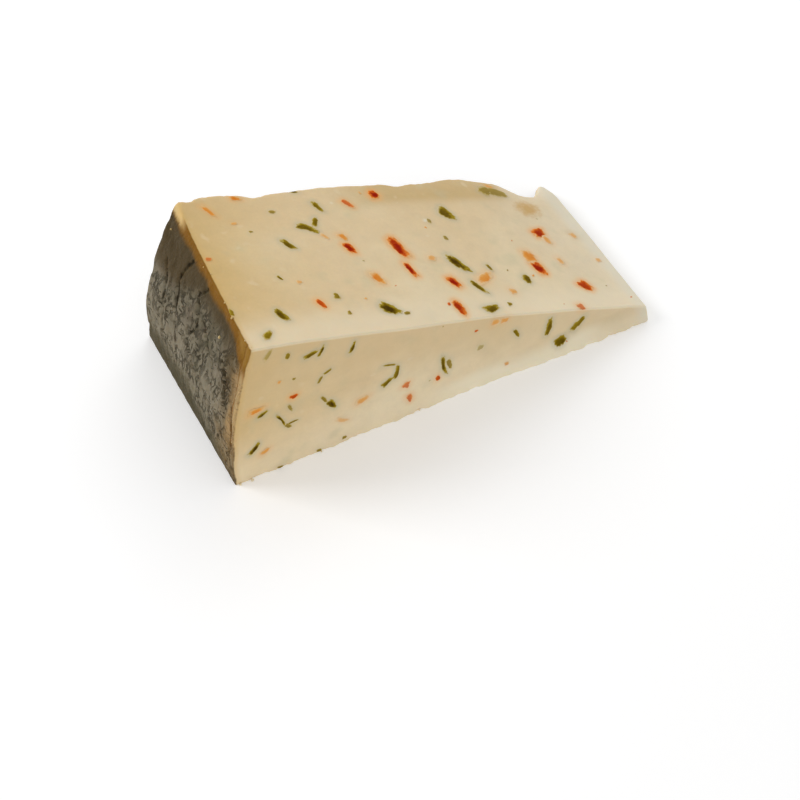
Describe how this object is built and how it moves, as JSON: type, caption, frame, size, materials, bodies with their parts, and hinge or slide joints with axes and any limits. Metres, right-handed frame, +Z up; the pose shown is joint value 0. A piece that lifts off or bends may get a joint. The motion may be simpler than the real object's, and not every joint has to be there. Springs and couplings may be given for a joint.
{
  "type": "pepper jack cheese wedge",
  "caption": "Wedge of semi-soft cheese with pieces of green and red pepper, a curved grey rind and a blunt tip, lying on one of its cut faces.",
  "frame": {"origin": "middle of the bounding box of the cut face that the wedge lies on", "axes": "+X from the rind to the tip, +Y from the sliced front face to the wheel's flat side, +Z up"},
  "size_m": [0.1158, 0.0558, 0.045],
  "materials": {
    "cheese_paste": "moist ivory paste, satin, with a faint waxy sheen",
    "cheese_rind": "dry grey-brown natural rind, matt, cracked and pitted",
    "jalapeno": "moist olive green pepper pieces",
    "red_pepper": "moist red pepper pieces",
    "orange_pepper": "moist orange pepper pieces"
  },
  "bodies": {
    "root": {"cheese_wedge": "cheese_paste"}
  },
  "joints": []
}
